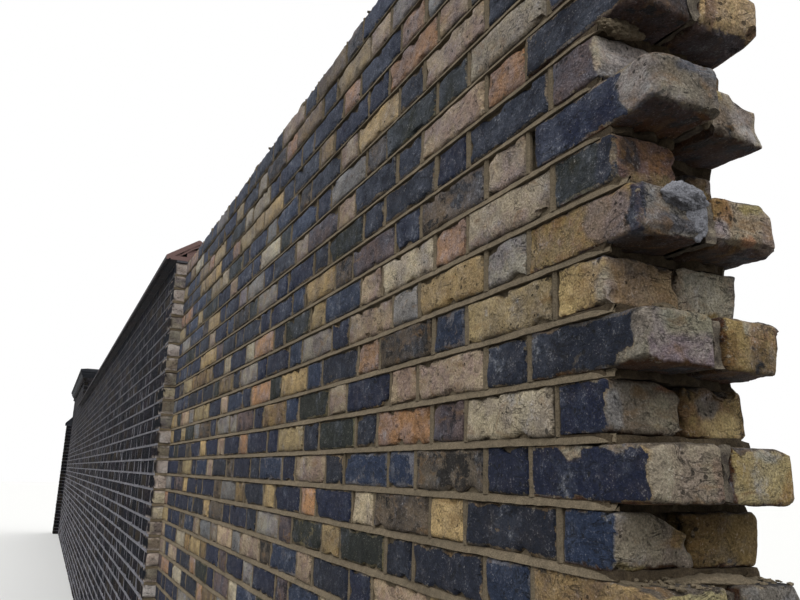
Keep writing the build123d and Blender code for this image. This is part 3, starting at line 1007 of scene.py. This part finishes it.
def end_brick(key, length, seed, draw, firing, by_eye, is_bat):
    """One centred brick of the toothed end: worn by chance, then broken, bitten and patched as listed.
    The rear bats are built in a mirror, so what is listed for them is mirrored too."""
    course, rear = key
    seen_breaks, seen_bites, seen_patches = [table.get(key, ()) for table in by_eye]
    side = -1 if is_bat and rear else 1
    half = (length / 2, brick_width / 2, brick_height / 2)
    chips = bites(half, draw, 2)
    if is_bat:
        count, deep, warp, lumpy = 2, 0.010, 0.0030, 0.0024
    else:
        count, deep, warp, lumpy = (2, 0.009, 0.0032, 0.0016) if seen_breaks else (4, 0.016, 0.0032, 0.0016)
    breaks = broken_corners(half, draw, count, deep)
    breaks += [(mirrored(normal, side).normalized(), reach / 1000) for normal, reach in seen_breaks]
    chips += [(mirrored(centre, side) / 1000, radius / 1000) for centre, radius in seen_bites]
    bm = whole_brick(length, brick_width, brick_cell(course))
    weather(bm, half, seed, draw, warp, lumpy, chips, breaks)
    face, end, rear_end = firing
    # Undersides, and a rear brick's side that faces the front brick, are painted in shade
    names = {"front": face, "end": end, "back": face, "garden": end, "top": "umber", "under": "underside"}
    if rear:
        garden = rear_end if is_bat else draw.choice(end_choice)
        names.update({"end": rear_end, "front": "underside", "garden": garden})
    paint(bm, half, names, draw, seed, [(mirrored(centre, side), size, name) for centre, size, name in seen_patches])
    return bm


def build_teeth():
    """The stretchers left projecting, each worn on every side."""
    for course in range(0, new_courses, 2):
        draw = random.Random(300 + course)
        firing = end_firings(tooth_firings, course, draw)
        whole = fresh_heap()
        for rear in (0, 1):
            is_long = course == long_course and not rear
            length = brick_length + (long_extra if is_long else 0.0)
            outer = long_high.x if is_long else first_high.x
            seed = 7 * course + 3 * rear + 1
            bm = end_brick((course, rear), length, seed, draw, firing, tooth_by_eye, is_bat=False)
            y = front_y + (wall_thickness - brick_width / 2 - 0.002 if rear else brick_width / 2 + brick_inset)
            turn = turned(draw.uniform(-0.8, 0.8), "Z") @ turned(draw.uniform(-0.8, 0.8), "X")
            bm.transform(Matrix.Translation((outer - length / 2 - 0.0015, y, course_z(course))) @ turn)
            pour(whole, bm)
        number = f"{course // 2 + 1:02d}"
        finish_piece(whole, f"tooth_bricks_{number}", new_brick, "tooth_bricks", f"tooth_course_{number}")


def build_bats():
    """Headers snapped in two across the wall, their broken sides facing over a ragged gap."""
    wholes = (fresh_heap(), fresh_heap())
    half_width = brick_width / 2
    for course in range(1, new_courses, 2):
        draw = random.Random(600 + course)
        firing = end_firings(bat_firings, course, draw)
        for rear, whole in enumerate(wholes):
            stand = 0.0
            depth = (rear_bat_depth if rear else front_bat_depth) + draw.uniform(-0.003, 0.003)
            if course == uneven_course:
                stand = -rear_bat_loss if rear else front_bat_stand
                depth = depth if rear else uneven_bat_depth
            length = bat_length + stand
            seed = 5 * course + 11 * rear + 2
            bm = end_brick((course, rear), length, seed, draw, firing, bat_by_eye, is_bat=True)
            for v in bm.verts:
                share = (v.co.y + half_width) / brick_width
                jag = noise.noise(Vector((v.co.x * 22, v.co.z * 26, seed * 0.9))) * 0.010
                jag += noise.noise(Vector((v.co.x * 70, v.co.z * 70, seed * 0.9))) * 0.007
                v.co.y = -half_width + share * (depth + jag * share)
            if rear:
                bmesh.ops.scale(bm, vec=(1, -1, 1), verts=bm.verts)
                bmesh.ops.reverse_faces(bm, faces=bm.faces)
            y = front_y + (wall_thickness - half_width - 0.001 if rear else half_width + brick_inset)
            x = line_x - bat_setback + stand - length / 2 - draw.uniform(0.0, 0.004)
            bm.transform(Matrix.Translation((x, y, course_z(course))))
            pour(whole, bm)
    finish_piece(wholes[0], "snapped_front_bats", new_brick, "tooth_bricks", "front_bats")
    finish_piece(wholes[1], "snapped_rear_bats", new_brick, "tooth_bricks", "rear_bats")


def build_old_wall():
    """The older length: sooted bricks, ruled joints and a worn end that stands proud."""
    front, garden = Mason(31, old_mix, brown_before=old_high.x - brown_run), Mason(32, old_mix)
    joints = []
    for course in range(old_courses):
        start = old_high.x - (brick_length if course % 2 else brick_width) - perpend
        laid = front.course(course_z(course), start, old_low.x, course % 2 == 1, front_face(old_low.y))
        joints += [(high + perpend / 2, course) for _, high in laid]
        garden.course(course_z(course), old_high.x, old_low.x, course % 2 == 0, garden_face(old_high.y))
    front.finish("old_wall_front_bricks", "old_wall")
    garden.finish("old_wall_garden_bricks", "old_wall")

    draw = random.Random(33)
    build_core("old_wall_core", "old_wall", old_mortar, (old_low.x, old_low.y + core_inset, 0.001),
               (old_high.x - 0.018, old_high.y - core_inset, old_high.z - 0.002))
    bm, ends = bmesh.new(), bmesh.new()
    for course in range(old_courses - 1):
        low = bed_foot(course) - 0.001
        struck_bar(bm, old_low.x, old_high.x - 0.012, course, old_low.y, old_step, press=0.1)
        toe = old_high.x - draw.uniform(0.002, 0.007)
        rubbed_slab(ends, (old_high.x - 0.03, old_low.y + 0.002, low), (toe, old_low.y + 0.1, low + bed + 0.002),
                    (3, 8, 1), course + 500, 0.005)
    for x, course in joints:
        perpend_bar(bm, x, course, old_low.y, draw, old_widths, cuts=1)
    finish_piece(bm, "old_wall_pointing", old_mortar, "mortar", "old_wall", outward=True)
    finish_piece(ends, "old_wall_end_joints", new_mortar, "mortar", "old_wall", outward=True)

    worn = fresh_heap()
    for course in range(old_courses):
        length = brick_length if course % 2 else brick_width
        half = (length / 2, 0.05, brick_height / 2)
        seed = 900 + course
        bm = whole_brick(length, 0.1, worn_cell)
        chips = bites(half, draw, 1)
        weather(bm, half, seed, draw, 0.004, 0.002, chips, broken_corners(half, draw, 2, 0.012))
        # The end and the hidden sides take worn buff clay lightened as painted light
        names = {side: "worn_buff" for side in ("garden", "top", "under", "back")}
        names["end"] = draw.choice(("worn_buff", "worn_buff", "cream", "greige", "end_stone"))
        names["front"] = draw.choice(("sooted", "sooted_umber", "sooted_plum"))
        paint(bm, half, names, draw, seed)
        x = old_high.x - half[0] - draw.uniform(0.001, 0.007)
        bm.transform(Matrix.Translation((x, old_low.y + half[1] + brick_inset, course_z(course))))
        pour(worn, bm)
    finish_piece(worn, "old_wall_end_bricks", old_brick, "old_brickwork", "old_wall")

    # The coping's end unit is bedded full, but for a hole at its foot
    near_low, near_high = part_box("coping_near_end")
    middle = (near_low.y + near_high.y) / 2
    pitch = math.atan2(0.109, 0.169)
    bm = bmesh.new()
    rubbed_slab(bm, (-0.12, -0.085, -0.010), (-0.005, 0.085, 0.004), (6, 12, 2), 640, 0.004, rise=0.003)
    bmesh.ops.rotate(bm, verts=bm.verts, matrix=Matrix.Rotation(pitch, 3, "X"))
    bmesh.ops.translate(bm, vec=(near_high.x, middle - 0.066, near_low.z + 0.058), verts=bm.verts)
    rubbed_slab(bm, (near_high.x - 0.12, middle - 0.060, near_low.z + 0.022),
                (near_high.x - 0.008, middle + 0.02, near_low.z + 0.075), (6, 12, 5), 641, 0.005, rise=0.004)
    finish_piece(bm, "coping_end_bedding", dark_clay, "clay_coping", outward=True)


def build_raised_wall():
    """The taller length, its oversailing course and the buttress, in the same sooted bricks."""
    front, garden, ends = [Mason(seed, brown_mix) for seed in (41, 42, 43)]
    joints = []
    for course in range(raised_courses):
        z = course_z(course)
        along = z, raised_high.x, raised_low.x, course % 2 == 0
        joints += [(low - perpend / 2, course) for low, _ in front.course(*along, front_face(raised_low.y))]
        garden.course(*along, garden_face(raised_high.y))
        ends.course(z, raised_high.y, raised_low.y, course % 2 == 1,
                    end_face(raised_high.x, 1), end_face(raised_low.x, -1))
    front.finish("raised_wall_front_bricks", "raised_wall")
    garden.finish("raised_wall_garden_bricks", "raised_wall")
    ends.finish("raised_wall_end_bricks", "raised_wall")
    draw = random.Random(44)
    inset = Vector((core_inset, core_inset, 0.001))
    build_core("raised_wall_core", "raised_wall", old_mortar, raised_low + inset, raised_high - inset)
    bm = bmesh.new()
    for course in range(raised_courses - 1):
        struck_bar(bm, raised_low.x + 0.004, raised_high.x - 0.004, course, raised_low.y, raised_step, press=0.2)
    for x, course in joints:
        if x > raised_low.x:
            perpend_bar(bm, x, course, raised_low.y, draw, raised_widths, cuts=1)
    finish_piece(bm, "raised_wall_pointing", old_mortar, "mortar", "raised_wall", outward=True)

    over = Mason(45, brown_mix)
    z = (oversail_low.z + oversail_high.z) / 2
    over.course(z, oversail_high.x, oversail_low.x, True, front_face(oversail_low.y), garden_face(oversail_high.y))
    over.course(z, oversail_high.y - 0.02, oversail_low.y + 0.02, True,
                end_face(oversail_high.x, 1), end_face(oversail_low.x, -1))
    over.finish("oversailing_bricks", "oversailing_course")
    inset.z = 0.0
    build_core("oversailing_core", "oversailing_course", old_mortar, oversail_low + inset, oversail_high - inset)

    stub = Mason(46, brown_mix)
    middle = (buttress_low.y + buttress_high.y) / 2
    width = buttress_high.y - buttress_low.y - 0.006
    for course in range(buttress_courses):
        z = course_z(course)
        stub.course(z, buttress_high.x, buttress_low.x, course % 2 == 0, front_face(buttress_low.y))
        for x, side in ((buttress_high.x, 1), (buttress_low.x, -1)):
            stub.brick("header", middle, z, width, end_face(x, side))
    stub.finish("buttress_bricks", "buttress")
    build_core("buttress_core", "buttress", old_mortar, buttress_low + Vector((core_inset, core_inset, 0.001)),
               buttress_high - Vector((core_inset, 0, 0.001)))


def build_loose_mortar():
    """Bits of bed left along the bare top, and on top of every tooth."""
    bm = bmesh.new()
    x = new_low.x + 0.01
    while x < line_x - 0.06:
        reach = min(x + 0.5, line_x - 0.06)
        rubbed_slab(bm, (x, front_y + 0.004, new_high.z - 0.008), (reach, new_high.y - 0.004, new_high.z - 0.0015),
                    (40, 8, 1), x, 0.01, rise=0.015)
        x = reach
    crumbs(bm, at(-3.4, 0.004, new_high.z - 0.008), at(-0.1, 0.04, new_high.z - 0.001), 420, random.Random(51),
           largest=0.0065)
    finish_piece(bm, "top_mortar_remains", new_mortar, "mortar", outward=True)

    draw = random.Random(52)
    bm = bmesh.new()
    for course in range(0, new_courses - 1, 2):
        top = bed_foot(course)
        below_eye = top < camera_stand.z
        reach = draw.uniform(0.006, 0.024) if below_eye else draw.uniform(-0.010, 0.000)
        fine = 2 if course in fine_top_courses else 1
        rubbed_slab(bm, at(-0.03, 0.006, top - 0.008), at(reach, wall_thickness - 0.006, top - 0.001),
                    (7 * fine, 24 * fine, 1), course, 0.010, rise=0.006)
        if below_eye:
            crumbs(bm, at(-0.01, 0.02, top - 0.001), at(0.05, wall_thickness - 0.01, top + 0.003), 70, draw)
            lump(bm, at(0.012, 0.13, top + 0.001), (0.030, 0.055, 0.007), course + 0.5, detail=4 + fine // 2)
    lump(bm, at(0.004, 0.032, course_z(27) + 0.036), (0.0115, 0.034, 0.011), 8.0, ribs=0.10)
    lump(bm, at(-0.004, 0.085, course_z(23) - 0.030), (0.014, 0.016, 0.009), 12.0)
    lump(bm, at(tooth - 0.002, 0.116, course_z(26) - 0.014), (0.010, 0.012, 0.018), 15.0)
    finish_piece(bm, "tooth_mortar_remains", new_mortar, "mortar", outward=True)

    bm = bmesh.new()
    top = course_z(long_course - 2) + brick_height / 2
    lump(bm, at(tooth - 0.001, 0.070, top - 0.013), (0.012, 0.034, 0.0150), 3.0)
    lump(bm, at(tooth - 0.0035, 0.092, top - 0.036), (0.0065, 0.017, 0.026), 5.0)
    finish_piece(bm, "hard_mortar_lump", grey_mortar, "mortar", outward=True)


def dress_cad_nodes():
    """CAD nodes whose shape is right keep it and take their finish."""
    finishes = {"clay_coping": dark_clay, "cap_stone": cap_rock, "mortar": old_mortar}
    slots = {part["node"]: part["material_slot"] for part in frame["record"]["subparts"]}
    for name, node in frame["nodes"].items():
        if slots[name] in finishes:
            node.data.materials.clear()
            node.data.materials.append(finishes[slots[name]])


def set_stage():
    """A pale floor, a white background and an even overcast light from before the wall."""
    bm = bmesh.new()
    bmesh.ops.create_grid(bm, x_segments=2, y_segments=2, size=70)
    mesh = as_mesh(bm, "floor")
    floor_paint, add = new_material("floor_paint")
    rays = add("LightPath").outputs
    seen = add("Math.MAXIMUM", rays["Is Camera Ray"], rays["Is Glossy Ray"])
    mesh.materials.append(dress_shader(floor_paint, add("Mix.RGBA", seen, "#4a4845", "#e6e6e4")))
    floor = new_object("floor", mesh)

    world = bpy.data.worlds.new("overcast")
    bpy.context.scene.world = world
    world.use_nodes = True
    add = node_adder(world.node_tree)
    sky = world.node_tree.nodes["Background"]
    height = add("SeparateXYZ", add("TexCoord").outputs["Generated"]).outputs[2]
    level = add("MapRange", height, -0.1, 0.9, 0.42, 1.15)
    rays = add("LightPath").outputs
    seen = add("Math.MAXIMUM", rays["Is Camera Ray"], rays["Is Glossy Ray"])
    seen = add("Math.MAXIMUM", seen, rays["Is Transmission Ray"])
    world.node_tree.links.new(add("Mix", seen, level, 1.0).outputs[0], sky.inputs["Strength"])
    sky.inputs["Color"].default_value = (1, 1, 1, 1)

    data = bpy.data.lights.new("bright_cloud", "SUN")
    data.energy = 1.35
    data.angle = math.radians(40)
    cloud = new_object("bright_cloud", data)
    cloud.rotation_euler = Vector((-0.75, 0.60, -0.85)).to_track_quat("-Z", "Y").to_euler()


def set_camera():
    """The photograph's view, worked out from the bed joints and the teeth."""
    data = bpy.data.cameras.new("camera")
    data.sensor_width = sensor_mm
    data.lens = camera_focal_px / picture_width_px * sensor_mm
    data.clip_start = 0.01
    data.clip_end = 200
    camera = new_object("camera", data)
    cos, sin = math.cos, math.sin
    ahead = Vector((-cos(camera_yaw) * cos(camera_pitch), sin(camera_yaw) * cos(camera_pitch), sin(camera_pitch)))
    right = Vector((sin(camera_yaw), cos(camera_yaw), 0))
    up = right.cross(ahead)
    level_right = cos(camera_roll) * right + sin(camera_roll) * up
    level_up = -sin(camera_roll) * right + cos(camera_roll) * up
    turn = Matrix((level_right, level_up, -ahead)).transposed().to_4x4()
    camera.matrix_world = Matrix.Translation(at(*camera_stand)) @ turn
    bpy.context.scene.camera = camera


set_camera()
set_stage()
upright_joints = build_new_bricks()
build_new_mortar(upright_joints)
build_teeth()
build_bats()
build_old_wall()
build_raised_wall()
build_loose_mortar()
dress_cad_nodes()
bpy.context.scene.view_settings.view_transform = "Standard"
